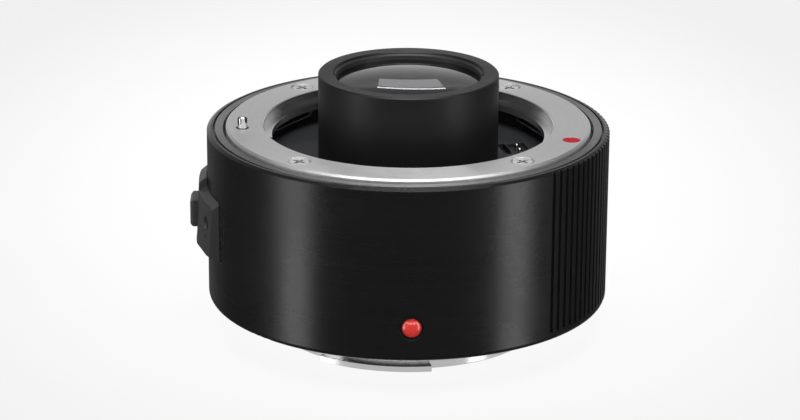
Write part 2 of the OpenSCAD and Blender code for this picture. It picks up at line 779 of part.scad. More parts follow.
// A leaf bows down between two tabs that join the ring
module leaf(angle) {
    tab_top_z = claw_z - leaf_skin;
    tab_low_z = leaf_z + leaf_skin;
    bow_z = tab_low_z - leaf_bow;
    bow_top_z = tab_top_z - leaf_bow;
    half = leaf_flat / 2;
    slope = half + leaf_run;
    tab = slope + leaf_tab;
    at(claw_r + leaf_set, angle) rotate([90, 0, 0]) linear_extrude(leaf_w) polygon([
        [-tab, tab_top_z], [-tab, tab_low_z], [-slope, tab_low_z], [-half, bow_z], [half, bow_z],
        [slope, tab_low_z], [tab, tab_low_z], [tab, tab_top_z], [slope, tab_top_z], [half, bow_top_z],
        [-half, bow_top_z], [-slope, tab_top_z]]);
}

module main_frame() {
    color([0.12, 0.12, 0.13]) difference() {
        union() {
            rotate_extrude() polygon([[frame_r, lip_z], [frame_r, seat_z], [collar_r + fixed_gap, seat_z],
                [collar_r + fixed_gap, leaf_z], [well_r, leaf_z], [well_r, well_z], [floor_hole_r, well_z],
                [floor_hole_r, floor_z], [well_wall_r, floor_z], [well_wall_r, frame_seat_z],
                [frame_in_r, frame_seat_z], [frame_in_r, frame_rear_z], [frame_hole_r, frame_rear_z],
                [frame_hole_r, lip_z]]);
            intersection() {
                translate([-frame_r, pin_y - shelf_w / 2, shelf_top_z - shelf_h])
                    cube([frame_r + shelf_reach_x, shelf_w, shelf_h]);
                rod(frame_r - frame_wall / 2, shelf_top_z - shelf_h - cut, shelf_top_z + cut);
            }
            at(board_screw_r, board_boss_angle) rod(board_boss_d / 2, block_foot_z, floor_z + floor_t / 2);
        }
        sector(block_in_r - fixed_gap, block_out_r + fixed_gap, contact_angle - block_half - block_gap_angle,
            contact_angle + block_half + block_gap_angle, floor_z - cut, well_z + cut);
        sector(floor_slot_r - floor_slot_w, floor_slot_r, floor_slot_angle - floor_slot_half,
            floor_slot_angle + floor_slot_half, well_z - floor_slot_depth, well_z + cut);
        for (angle = lens_screw_angles) at(lens_screw_r, angle)
            rod(screw_shank_d / 2 + fixed_gap, frame_seat_z - cut, seat_z + cut);
        for (angle = camera_screw_angles) at(camera_screw_r, angle)
            rod(screw_shank_d / 2 + fixed_gap, lip_z - cut, frame_rear_z + cut);
        for (angle = board_screw_angles) at(board_screw_r, angle)
            small_hole(block_foot_z, board_z + board_screw_length);
        for (angle = barrel_screw_angles) at(barrel_screw_r, angle)
            small_hole(lip_z, seal_z + barrel_head_h + barrel_screw_length);
        for (side = [-1, 1]) guard_screw_hole(side);
        translate([pin_x, pin_y, 0]) rod(pin_bore_r, shelf_top_z - shelf_h - cut, seat_z + cut);
        release_slot();
    }
}

module lens_tube() {
    color(black) rotate_extrude() polygon([[tube_r, well_z], [tube_r, tube_z - tube_bevel],
        [tube_r - tube_bevel, tube_z], [front_bore_r + tube_bevel, tube_z],
        [front_bore_r, tube_z - tube_bevel], [front_bore_r, shoulder_z], [stop_r, shoulder_z],
        [stop_r, stop_z], [rear_bore_r, stop_z], [rear_bore_r, -rear_tube_reach],
        [rear_tube_r, -rear_tube_reach], [rear_tube_r, tube_neck_z], [tube_neck_r, tube_neck_z],
        [tube_neck_r, well_z]]);
}

module tube_lock_ring() {
    low_z = floor_z - lock_ring_h;
    color(brass) difference() {
        tube(lock_ring_r, floor_hole_r, low_z, floor_z);
        for (turn = [0:3]) at(lock_ring_r, 45 + 90 * turn)
            translate([-lock_slot / 2, -cut, low_z - cut])
                cube([lock_slot, lock_slot_depth + cut, lock_ring_h / 2 + cut]);
    }
}

module front_retaining_ring() {
    top_z = front_ring_z + front_ring_h;
    color(black) difference() {
        rotate_extrude() polygon([[glass_r, front_ring_z], [glass_r, top_z], [glass_r - ring_land, top_z],
            [front_clear_r + ring_cone, top_z - ring_cone_h], [front_clear_r, front_ring_z]]);
        for (angle = spanner_angles) at(glass_r, angle)
            translate([-spanner_slot.x / 2, -cut, top_z - spanner_slot.z]) cube(spanner_slot + [0, 0, cut]);
    }
}

module front_element() {
    color(glass_tint) lens(glass_r, front_face_z, front_back_z, front_face_r, -front_back_r);
}

module front_spacer() {
    color(black) tube(glass_r, front_spacer_r, front_spacer_z, front_spacer_z + front_spacer_h);
}

module doublet_front() {
    color(glass_tint) lens(glass_r, doublet_face_z, doublet_back_z, doublet_face_r, doublet_cement_r);
}

module doublet_rear() {
    color(glass_tint) lens(glass_r, doublet_cement_z, shoulder_z + glass_gap, -doublet_cement_r, 0);
}

module triplet_front() {
    color(glass_tint) lens(rear_glass_r, triplet_face_z, triplet_joint_z, -triplet_face_r, -triplet_front_r);
}

module triplet_middle() {
    color(glass_tint)
        lens(rear_glass_r, triplet_middle_z, triplet_middle_back_z, triplet_front_r, triplet_rear_r);
}

module triplet_rear() {
    color(glass_tint) lens(rear_glass_r, triplet_rear_z, triplet_back_z, -triplet_rear_r, -triplet_back_r);
}

module rear_spacer() {
    color(black) tube(rear_glass_r, rear_clear_r, rear_spacer_z, rear_spacer_top_z);
}

module rear_doublet_front() {
    color(glass_tint) lens(rear_glass_r, rear_face_z, rear_joint_z, rear_face_r, rear_cement_r);
}

module rear_doublet_rear() {
    color(glass_tint) lens(rear_glass_r, rear_rear_z, rear_back_z, -rear_cement_r, -rear_back_r);
}

module rear_retaining_ring() {
    low_z = rear_ring_top_z - rear_ring_h;
    color(black) difference() {
        tube(rear_glass_r, rear_clear_r, low_z, rear_ring_top_z);
        for (angle = spanner_angles) at(rear_glass_r, angle)
            translate([-spanner_slot.x / 2, -cut, low_z - cut]) cube(spanner_slot + [0, 0, cut]);
    }
}

module contact_block() {
    color([0.1, 0.1, 0.11]) difference() {
        union() {
            sector(block_in_r, block_out_r, contact_angle - block_half, contact_angle + block_half,
                block_foot_z, block_top_z);
            sector(block_foot_in_r, block_out_r + block_foot_w, contact_angle - block_foot_half,
                contact_angle + block_foot_half, block_foot_z, floor_z);
        }
        for (angle = contact_angles) at(contact_r, angle) {
            rod(contact_d / 2 + contact_gap, block_foot_z, block_top_z + cut);
            rod(chamber_r, block_foot_z - cut, chamber_top_z);
        }
        for (angle = board_screw_angles) at(board_screw_r, angle)
            small_hole(block_foot_z, floor_z);
    }
}

module contact_pin(index) {
    tip_r = contact_d / 2;
    tip_z = block_top_z + contact_proud - tip_r;
    color(brass) at(contact_r, contact_angles[index]) union() {
        rod(contact_collar_d / 2, collar_z, collar_top_z);
        rod(tip_r, collar_z, tip_z);
        translate([0, 0, tip_z]) sphere(r = tip_r, $fn = 48);
    }
}

module contact_springs() {
    low_z = block_foot_z + stop_gap;
    outer = contact_collar_d / 2 - contact_spring_gap;
    color(metal) for (angle = contact_angles) at(contact_r, angle) difference() {
        rod(outer, low_z, collar_z - stop_gap);
        rod(outer - contact_spring_wall, low_z - cut, collar_z + cut);
    }
}

module circuit_board() {
    color([0.08, 0.3, 0.14]) difference() {
        sector(board_in_r, board_out_r, board_from, board_to, board_z, block_foot_z);
        for (angle = board_screw_angles) at(board_screw_r, angle)
            small_hole(board_z, block_foot_z);
    }
}

module board_screws() {
    color(metal) for (angle = board_screw_angles) at(board_screw_r, angle)
        translate([0, 0, board_z]) pan_screw(board_screw_length, small_head_h);
}

module control_chip() {
    color([0.06, 0.06, 0.06]) at((board_in_r + board_out_r) / 2, chip_angle)
        translate([-chip_w / 2, -chip_w / 2, board_z - chip_h]) cube([chip_w, chip_w, chip_h]);
}

module board_capacitors() {
    color([0.6, 0.5, 0.35]) for (angle = capacitor_angles) at((board_in_r + board_out_r) / 2, angle)
        translate([-capacitor_size.y / 2, -capacitor_size.x / 2, board_z - capacitor_size.z])
            cube([capacitor_size.y, capacitor_size.x, capacitor_size.z]);
}

module link_flex() {
    color([0.7, 0.4, 0.12]) sector(contact_r, contact_r + flex_t, contact_angle - flex_half,
        contact_angle + flex_half, rear_block_top_z, board_z);
}

module rear_contact_block() {
    color([0.1, 0.1, 0.11]) difference() {
        sector(rear_block_in_r, rear_block_out_r, contact_angle - rear_ear_half,
            contact_angle + rear_ear_half, rear_block_z, rear_block_top_z);
        for (end = [[-rear_ear_half - cut, -rear_block_half], [rear_block_half, rear_ear_half + cut]])
            sector(rear_block_in_r - cut, rear_block_out_r + cut, contact_angle + end[0],
                contact_angle + end[1], rear_block_z - cut, baffle_top_z);
        for (angle = contact_angles) at(contact_r, angle) pad_space(fixed_gap);
        for (angle = rear_block_screw_angles) at(contact_r, angle)
            small_hole(baffle_top_z, rear_block_top_z);
    }
}

module pad_space(gap) {
    translate([-pad_size.y / 2 - gap, -pad_size.x / 2 - gap, pad_z])
        cube([pad_size.y + 2 * gap, pad_size.x + 2 * gap, pad_size.z]);
}

module rear_contact_pads() {
    color(brass) for (angle = contact_angles) at(contact_r, angle) pad_space(0);
}

module rear_block_screws() {
    color(metal) for (angle = rear_block_screw_angles) at(contact_r, angle)
        translate([0, 0, rear_block_top_z]) rotate([180, 0, 0]) pan_screw(rear_screw_length, small_head_h);
}

module baffle_opening() {
    corner = baffle_window / 2 - [baffle_window_r, baffle_window_r];
    square([baffle_window.x, 2 * corner.y], center = true);
    square([2 * corner.x, baffle_window.y], center = true);
    for (side = [-1, 1], end = [-1, 1])
        translate([side * corner.x, end * corner.y]) circle(r = baffle_window_r);
}

module rear_baffle() {
    flange_z = lip_z + baffle_flange_t;
    plate_r = baffle_window_r;
    slot_half = rear_block_half + block_gap_angle;
    color(black) difference() {
        rotate_extrude() polygon([[plate_r, baffle_z], [skirt_r, baffle_z], [skirt_r, lip_z],
            [baffle_flange_r, lip_z], [baffle_flange_r, flange_z], [skirt_in_r, flange_z],
            [skirt_in_r, baffle_top_z], [plate_r, baffle_top_z]]);
        translate([0, 0, baffle_z - cut]) linear_extrude(baffle_t + 2 * cut) baffle_opening();
        sector(rear_block_in_r - fixed_gap, (skirt_in_r + skirt_r) / 2, contact_angle - slot_half,
            contact_angle + slot_half, baffle_z - cut, baffle_top_z + cut / 2);
        for (angle = rear_block_screw_angles) at(contact_r, angle)
            small_hole(rear_block_top_z - rear_screw_length, baffle_top_z);
        for (angle = baffle_screw_angles) at(baffle_screw_r, angle) small_hole(lip_z, flange_z);
    }
}

module baffle_screws() {
    color(metal) for (angle = baffle_screw_angles) at(baffle_screw_r, angle)
        translate([0, 0, lip_z + baffle_flange_t]) rotate([180, 0, 0])
            pan_screw(baffle_screw_length, small_head_h);
}

module camera_mount_ring() {
    color(metal) difference() {
        union() {
            rotate_extrude() polygon([[neck_in_r, -neck_length], [neck_r - neck_bevel, -neck_length],
                [neck_r, -neck_length + neck_bevel], [neck_r, -register_length],
                [register_r, -register_length], [register_r, 0], [camera_ring_r, 0],
                [camera_ring_r, camera_ring_t], [neck_in_r, camera_ring_t]]);
            for (i = [0:len(lug_angles) - 1]) sector(neck_r - neck_wall / 2, lug_r, lug_start(i),
                lug_end(i), -neck_length, -neck_length + lug_t);
        }
        for (angle = camera_screw_angles) at(camera_screw_r, angle)
            rotate([180, 0, 0]) countersunk_hole(camera_ring_t + cut);
        at(pin_circle_d / 2, pin_angle) rod(pin_slot_d / 2, -cut, pin_slot_depth);
        for (angle = baffle_screw_angles) at(baffle_screw_r, angle)
            small_hole(lip_z + baffle_flange_t - baffle_screw_length, camera_ring_t);
    }
}

module camera_mount_screws() {
    color(metal) for (angle = camera_screw_angles) at(camera_screw_r, angle)
        translate([0, 0, screw_sink]) rotate([180, 0, 0]) countersunk_screw(camera_screw_length);
}

module rear_seal() {
    color([0.03, 0.03, 0.03]) tube(seal_r - fixed_gap, lip_r, seal_z - seal_t, seal_z);
}

module barrel_screws() {
    color(metal) for (angle = barrel_screw_angles) at(barrel_screw_r, angle)
        translate([0, 0, seal_z + barrel_head_h]) pan_screw(barrel_screw_length, barrel_head_h);
}

// Wings that thin out away from the barrel, with a bevel along the upper edge of each end
module guard_wings() {
    half = guard_w / 2;
    reach_r = barrel_r + wing_reach;
    difference() {
        intersection() {
            rotate_extrude() polygon([[bore_r, wing_z], [barrel_r, wing_z],
                [reach_r, wing_z + wing_low_rise], [reach_r, wing_top_z - wing_top_fall],
                [barrel_r, wing_top_z], [bore_r, wing_top_z]]);
            translate([-2 * barrel_r, -half, wing_z - cut]) cube([2 * barrel_r, guard_w, wing_h + 2 * cut]);
        }
        for (side = [-1, 1])
            translate([-sqrt(barrel_r ^ 2 - half ^ 2), side * half, wing_top_z - wing_bevel])
                rotate([0, -atan(wing_top_fall / wing_reach), 0]) rotate([-45 * side, 0, 0])
                    translate([-2 * wing_reach, -2 * wing_reach, 0])
                        cube([4 * wing_reach, 4 * wing_reach, wing_reach]);
    }
}

module guard_middle() {
    slope = guard_proud - guard_edge;
    reach = (slope + cut) / slope;
    translate([0, guard_middle_w / 2, 0]) rotate([90, 0, 0]) linear_extrude(guard_middle_w)
        polygon([[-bore_r, guard_low], [guard_edge_x, guard_low],
            [guard_face_x - cut, guard_low + guard_lower_bevel * reach],
            [guard_face_x - cut, guard_high - guard_upper_bevel * reach], [guard_edge_x, guard_high],
            [-bore_r, guard_high]]);
}

module release_guard() {
    color(black) difference() {
        intersection() {
            union() {
                guard_wings();
                guard_middle();
            }
            translate([guard_centre_x, 0, guard_low]) cylinder(r1 = guard_face_r + guard_lean / 2,
                r2 = guard_face_r - guard_lean / 2, h = guard_high - guard_low, $fn = 256);
        }
        tube(guard_r, 0, guard_low - cut, guard_high + cut);
        translate([-2 * barrel_r, -knob_w / 2 - slide_gap, window_z])
            cube([2 * barrel_r, knob_w + 2 * slide_gap, window_top_z - window_z]);
        for (side = [-1, 1]) {
            guard_screw_hole(side);
            translate([guard_screw_seat_x, side * guard_screw_y, guard_screw_z]) rotate([0, -90, 0])
                rod(small_head_d / 2 + head_gap, 0, 3 * guard_proud);
            translate([guard_screw_face_x + guard_hole_depth, side * guard_screw_y,
                guard_screw_z - guard_hole_drop]) rotate([0, -90, 0])
                rod(guard_hole_d / 2, 0, 3 * guard_proud);
        }
    }
}

module guard_screws() {
    color(black) for (side = [-1, 1]) translate([guard_screw_seat_x, side * guard_screw_y, guard_screw_z])
        rotate([0, 90, 0]) pan_screw(guard_screw_end_x - guard_screw_seat_x, small_head_h);
}

module release_knob() {
    half = knob_w / 2;
    color(black) union() {
        intersection() {
            translate([0, 0, knob_height - knob_h / 2]) linear_extrude(knob_h) union() {
                translate([knob_face_x + knob_round, -half])
                    square([knob_back_x - knob_face_x - knob_round, knob_w]);
                translate([knob_face_x, -half + knob_round])
                    square([knob_round * 2, knob_w - 2 * knob_round]);
                for (side = [-1, 1]) translate([knob_face_x + knob_round, side * (half - knob_round)])
                    circle(r = knob_round);
            }
            translate([0, half, knob_height]) rotate([90, 0, 0]) linear_extrude(knob_w) polygon([
                [knob_back_x, -knob_h / 2], [knob_face_x + knob_edge, -knob_h / 2],
                [knob_face_x, -knob_h / 2 + knob_edge], [knob_face_x, knob_h / 2 - knob_edge],
                [knob_face_x + knob_edge, knob_h / 2], [knob_back_x, knob_h / 2]]);
        }
        difference() {
            translate([knob_back_x - cut, -stem_w / 2, knob_height - stem_h / 2])
                cube([carrier_x - knob_back_x + cut, stem_w, stem_h]);
            translate([0, carrier_screw_y, knob_height]) rotate([0, 90, 0])
                small_hole(carrier_x + carrier_t - carrier_screw_length, carrier_x);
        }
    }
}

module release_carrier() {
    color(metal) difference() {
        union() {
            translate([carrier_x, carrier_y[0], carrier_low_z])
                cube([carrier_t, carrier_y[1] - carrier_y[0], carrier_top_z - carrier_low_z]);
            translate([carrier_x, carrier_y[0], carrier_top_z - carrier_t])
                cube([carrier_reach_x - carrier_x, carrier_tab_w, carrier_t]);
        }
        translate([pin_x, pin_y, 0]) rod(pin_r + glass_gap, carrier_low_z, carrier_top_z + cut);
        translate([0, carrier_screw_y, knob_height]) rotate([0, 90, 0])
            small_hole(carrier_x, carrier_x + carrier_t);
    }
}

module carrier_screw() {
    color(metal) translate([carrier_x + carrier_t, carrier_screw_y, knob_height]) rotate([0, -90, 0])
        pan_screw(carrier_screw_length, small_head_h);
}

module lock_pin() {
    color(metal) translate([pin_x, pin_y, 0]) union() {
        rod(pin_r, pin_low_z, pin_top_z - pin_bevel);
        rod(pin_collar_r, pin_collar_z, pin_collar_z + pin_collar_h);
        translate([0, 0, pin_top_z - pin_bevel])
            cylinder(r1 = pin_r, r2 = pin_r - pin_bevel, h = pin_bevel, $fn = 48);
    }
}

module pin_clip() {
    color(metal) translate([pin_x, pin_y, clip_z]) difference() {
        rod(clip_r, 0, clip_h);
        rod(pin_r + glass_gap, -cut, clip_h + cut);
        translate([-pin_r * 0.7, 0, -cut]) cube([pin_r * 1.4, clip_r + cut, clip_h + 2 * cut]);
    }
}

// The spring is a tube swept along a helix around the lock pin
module release_spring() {
    steps = spring_turns * spring_rings;
    wire_r = spring_wire_d / 2;
    points = [for (i = [0:steps], j = [0:spring_sides - 1])
        let (turn = 360 * i / spring_rings, side = 360 * j / spring_sides,
            reach = spring_r + wire_r * cos(side))
        [reach * cos(turn), reach * sin(turn),
            spring_low_z + wire_r + spring_pitch * i / spring_rings + wire_r * sin(side)]];
    skin = [for (i = [0:steps - 1], j = [0:spring_sides - 1])
        let (a = i * spring_sides + j, b = i * spring_sides + (j + 1) % spring_sides)
        each [[a, b, a + spring_sides], [b, b + spring_sides, a + spring_sides]]];
    last = steps * spring_sides;
    ends = [for (j = [1:spring_sides - 2]) each [[0, j + 1, j], [last, last + j, last + j + 1]]];
    color(metal) translate([pin_x, pin_y, 0]) polyhedron(points, concat(skin, ends));
}

barrel();
front_trim_ring();
index_dome();
lens_mount_ring();
lens_mount_screws();
lens_index_dot();
bayonet_springs();
main_frame();
lens_tube();
tube_lock_ring();
front_retaining_ring();
front_element();
front_spacer();
doublet_front();
doublet_rear();
triplet_front();
triplet_middle();
triplet_rear();
rear_spacer();
rear_doublet_front();
rear_doublet_rear();
rear_retaining_ring();
contact_block();
contact_pin(0);  // contact_pin_01
contact_pin(1);  // contact_pin_02
contact_pin(2);  // contact_pin_03
contact_pin(3);  // contact_pin_04
contact_pin(4);  // contact_pin_05
contact_pin(5);  // contact_pin_06
contact_pin(6);  // contact_pin_07
contact_pin(7);  // contact_pin_08
contact_pin(8);  // contact_pin_09
contact_pin(9);  // contact_pin_10
contact_springs();
circuit_board();
board_screws();
control_chip();
board_capacitors();
link_flex();
rear_contact_block();
rear_contact_pads();
rear_block_screws();
rear_baffle();
baffle_screws();
camera_mount_ring();
camera_mount_screws();
rear_seal();
barrel_screws();
release_guard();
guard_screws();
release_knob();
release_carrier();
carrier_screw();
lock_pin();
pin_clip();
release_spring();
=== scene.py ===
import math

import bpy
from mathutils import Matrix, Vector


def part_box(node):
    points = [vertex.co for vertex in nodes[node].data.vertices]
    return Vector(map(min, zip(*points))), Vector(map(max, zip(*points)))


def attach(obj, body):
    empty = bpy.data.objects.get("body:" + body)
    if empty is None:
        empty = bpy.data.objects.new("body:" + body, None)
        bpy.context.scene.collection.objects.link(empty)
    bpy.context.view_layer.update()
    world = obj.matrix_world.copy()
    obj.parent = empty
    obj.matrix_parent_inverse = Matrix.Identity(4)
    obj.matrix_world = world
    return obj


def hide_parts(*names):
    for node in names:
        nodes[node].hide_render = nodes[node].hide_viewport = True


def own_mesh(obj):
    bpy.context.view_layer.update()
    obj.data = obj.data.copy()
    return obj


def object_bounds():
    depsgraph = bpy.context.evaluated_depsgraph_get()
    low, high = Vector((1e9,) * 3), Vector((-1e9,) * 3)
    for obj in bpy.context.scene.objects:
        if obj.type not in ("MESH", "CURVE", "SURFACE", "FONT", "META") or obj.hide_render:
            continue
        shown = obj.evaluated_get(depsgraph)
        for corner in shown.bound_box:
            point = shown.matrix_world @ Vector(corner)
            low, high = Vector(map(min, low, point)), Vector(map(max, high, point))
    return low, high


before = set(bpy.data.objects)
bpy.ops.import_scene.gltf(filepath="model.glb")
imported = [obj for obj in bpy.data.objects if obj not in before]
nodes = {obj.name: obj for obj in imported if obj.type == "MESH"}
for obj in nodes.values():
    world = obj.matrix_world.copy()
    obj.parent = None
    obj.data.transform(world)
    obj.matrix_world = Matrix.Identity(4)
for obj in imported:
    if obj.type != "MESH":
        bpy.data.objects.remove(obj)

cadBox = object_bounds()
scene = bpy.context.scene
scene.view_settings.view_transform = "Standard"
print("frame loaded:", len(nodes), "nodes")

# camera, from the ellipses of the rims in the photo
shot = {
    "imagePx": (800, 420),
    "focalPx": 3099.68,
    "distance": 0.5532,
    "elevation": 17.422,
    "side": -1.33,
    "roll": 0.396,
    "aimZ": 0.03153,
    "aimPx": (408.215, 126.253),
    "sensor": 36.0,
    "clipStart": 0.01,
}


def setCamera(shot):
    rise, side, roll = (math.radians(shot[k]) for k in ("elevation", "side", "roll"))
    offX = (shot["aimPx"][0] - shot["imagePx"][0] / 2) / shot["focalPx"]
    offY = (shot["imagePx"][1] / 2 - shot["aimPx"][1]) / shot["focalPx"]
    aim = Vector((0, 0, shot["aimZ"]))
    away = Vector((math.cos(rise) * math.sin(side), -math.cos(rise) * math.cos(side), math.sin(rise)))
    right = Vector((math.cos(side), math.sin(side), 0))
    ahead = -away
    up = right.cross(ahead)
    yaw, pitch = math.atan(offX), math.atan2(offY, math.hypot(1, offX))
    rollTurn = Matrix((
        (math.cos(roll), math.sin(roll), 0), (-math.sin(roll), math.cos(roll), 0), (0, 0, 1),
    ))
    pitchTurn = Matrix((
        (1, 0, 0), (0, math.cos(pitch), math.sin(pitch)), (0, -math.sin(pitch), math.cos(pitch)),
    ))
    yawTurn = Matrix((
        (math.cos(yaw), 0, math.sin(yaw)), (0, 1, 0), (-math.sin(yaw), 0, math.cos(yaw)),
    ))
    axes = yawTurn @ pitchTurn @ rollTurn @ Matrix((right, up, ahead))
    data = bpy.data.cameras.new("photoCamera")
    data.sensor_width = shot["sensor"]
    data.lens = shot["focalPx"] * shot["sensor"] / shot["imagePx"][0]
    data.clip_start = shot["clipStart"]
    camera = bpy.data.objects.new("photoCamera", data)
    scene.collection.objects.link(camera)
    turn = Matrix((axes[0], axes[1], -axes[2])).transposed()
    camera.matrix_world = Matrix.Translation(aim + away * shot["distance"]) @ turn.to_4x4()
    scene.camera = camera


setCamera(shot)
print("camera set")


# small helpers for shader trees
def addNode(tree, kind, settings=None, **values):
    node = tree.nodes.new(kind)
    for key, value in (settings or {}).items():
        setattr(node, key, value)
    for key, value in values.items():
        socket = node.inputs[key] if key in node.inputs else node.inputs[key.replace("_", " ")]
        if isinstance(value, bpy.types.NodeSocket):
            tree.links.new(value, socket)
        else:
            socket.default_value = value
    return node


def addMath(tree, operation, first, second=0.0):
    node = tree.nodes.new("ShaderNodeMath")
    node.operation = operation
    for socket, value in zip(node.inputs, (first, second)):
        if isinstance(value, bpy.types.NodeSocket):
            tree.links.new(value, socket)
        else:
            socket.default_value = value
    return node.outputs[0]


def addRange(tree, value, low, high, newLow, newHigh):
    node = tree.nodes.new("ShaderNodeMapRange")
    node.interpolation_type = "SMOOTHSTEP"
    tree.links.new(value, node.inputs["Value"])
    for key, number in (("From Min", low), ("From Max", high), ("To Min", newLow), ("To Max", newHigh)):
        node.inputs[key].default_value = number
    return node.outputs["Result"]


def newGroup(name, inputs, outputs):
    group = bpy.data.node_groups.new(name, "ShaderNodeTree")
    for label, value in inputs.items():
        socket = group.interface.new_socket(label, in_out="INPUT", socket_type="NodeSocketFloat")
        socket.default_value = value
    for label in outputs:
        group.interface.new_socket(label, in_out="OUTPUT", socket_type="NodeSocketFloat")
    return group, group.nodes.new("NodeGroupInput").outputs, group.nodes.new("NodeGroupOutput").inputs


# fine moulded or blasted grain
def makeGrainGroup():
    group, given, out = newGroup("fineGrain", {"Scale": 4000.0, "Contrast": 0.5}, ["Grain"])
    place = addNode(group, "ShaderNodeTexCoord").outputs["Object"]
    noise = addNode(
        group, "ShaderNodeTexNoise", Vector=place, Scale=given["Scale"], Detail=3.0, Roughness=0.6,
    )
    offset = addMath(group, "SUBTRACT", noise.outputs[0], 0.5)
    spread = addMath(group, "MULTIPLY", offset, given["Contrast"])
    group.links.new(addMath(group, "ADD", addMath(group, "MULTIPLY", spread, 2.0), 0.5), out["Grain"])
    return group


# marks left by a lathe: rings on flat faces, lines round the sides
def makeTurnedGroup():
    group, given, out = newGroup("turnedMarks", {"Density": 6000.0, "Waver": 1.5}, ["Marks"])
    place = addNode(group, "ShaderNodeTexCoord").outputs["Object"]
    parts = addNode(group, "ShaderNodeSeparateXYZ", Vector=place).outputs
    flat = addNode(group, "ShaderNodeCombineXYZ", X=parts["X"], Y=parts["Y"]).outputs[0]
    radius = addNode(group, "ShaderNodeVectorMath", {"operation": "LENGTH"}, Vector=flat).outputs["Value"]
    heading = addNode(group, "ShaderNodeVectorMath", {"operation": "NORMALIZE"}, Vector=flat).outputs[0]
    turn = addNode(group, "ShaderNodeSeparateXYZ", Vector=heading).outputs
    track = addNode(
        group, "ShaderNodeCombineXYZ",
        X=addMath(group, "MULTIPLY", radius, given["Density"]),
        Y=addMath(group, "MULTIPLY", parts["Z"], given["Density"]),
        Z=addMath(group, "MULTIPLY", turn["X"], given["Waver"]),
    ).outputs[0]
    noise = addNode(
        group, "ShaderNodeTexNoise", {"noise_dimensions": "4D"}, Vector=track,
        W=addMath(group, "MULTIPLY", turn["Y"], given["Waver"]), Scale=1.0, Detail=4.0, Roughness=0.65,
    )
    group.links.new(addRange(group, noise.outputs[0], 0.25, 0.75, 0.0, 1.0), out["Marks"])
    return group


# soft patches left by fingers and cloths
def makeSmudgeGroup():
    group, given, out = newGroup("handSmudge", {"Scale": 60.0}, ["Smudge"])
    place = addNode(group, "ShaderNodeTexCoord").outputs["Object"]
    wide = addNode(
        group, "ShaderNodeTexNoise", Vector=place, Scale=given["Scale"], Detail=2.0, Distortion=0.6,
    )
    tightScale = addMath(group, "MULTIPLY", given["Scale"], 9.0)
    tight = addNode(group, "ShaderNodeTexNoise", Vector=place, Scale=tightScale, Detail=3.0)
    both = addMath(
        group, "ADD", addMath(group, "MULTIPLY", wide.outputs[0], 0.7),
        addMath(group, "MULTIPLY", tight.outputs[0], 0.3),
    )
    group.links.new(addRange(group, both, 0.35, 0.65, 0.0, 1.0), out["Smudge"])
    return group


# sparse specks of dust
def makeDustGroup():
    group, given, out = newGroup("dustSpecks", {"Scale": 700.0, "Amount": 0.2}, ["Dust"])
    place = addNode(group, "ShaderNodeTexCoord").outputs["Object"]
    cells = addNode(group, "ShaderNodeTexVoronoi", Vector=place, Scale=given["Scale"], Randomness=1.0)
    speck = addRange(group, cells.outputs["Distance"], 0.05, 0.16, 1.0, 0.0)
    pick = addNode(group, "ShaderNodeSeparateColor", Color=cells.outputs["Color"]).outputs[0]
    chosen = addRange(group, pick, 0.8, 0.86, 0.0, 1.0)
    picked = addMath(group, "MULTIPLY", speck, chosen)
    group.links.new(addMath(group, "MULTIPLY", picked, given["Amount"]), out["Dust"])
    return group


effects = {
    "grain": makeGrainGroup(),
    "turned": makeTurnedGroup(),
    "smudge": makeSmudgeGroup(),
    "dust": makeDustGroup(),
}
print("effect groups built:", len(effects))


def useEffect(tree, effect, **values):
    node = tree.nodes.new("ShaderNodeGroup")
    node.node_tree = effects[effect]
    for key, value in values.items():
        node.inputs[key].default_value = value
    return node.outputs[0]


def mixColour(tree, mask, first, second):
    node = tree.nodes.new("ShaderNodeMix")
    node.data_type = "RGBA"
    tree.links.new(mask, node.inputs["Factor"])
    for socket, value in ((node.inputs[6], first), (node.inputs[7], second)):
        if isinstance(value, bpy.types.NodeSocket):
            tree.links.new(value, socket)
        else:
            socket.default_value = (*value, 1.0)
    return node.outputs[2]


# the way out from the lathe's axis, and the distance from it
def addOutward(tree):
    outward = addNode(tree, "ShaderNodeVectorMath", {"operation": "MULTIPLY"})
    outward.inputs[1].default_value = (1.0, 1.0, 0.0)
    tree.links.new(addNode(tree, "ShaderNodeTexCoord").outputs["Object"], outward.inputs[0])
    return outward.outputs[0]


def addRadius(tree):
    outward = addOutward(tree)
    return addNode(tree, "ShaderNodeVectorMath", {"operation": "LENGTH"}, Vector=outward).outputs["Value"]


# what all finishes share
finishBase = {
    "smudgeScale": 55.0, "dustScale": 700.0, "dustColour": (0.5, 0.49, 0.47), "bumpDepth": 0.00002,
}


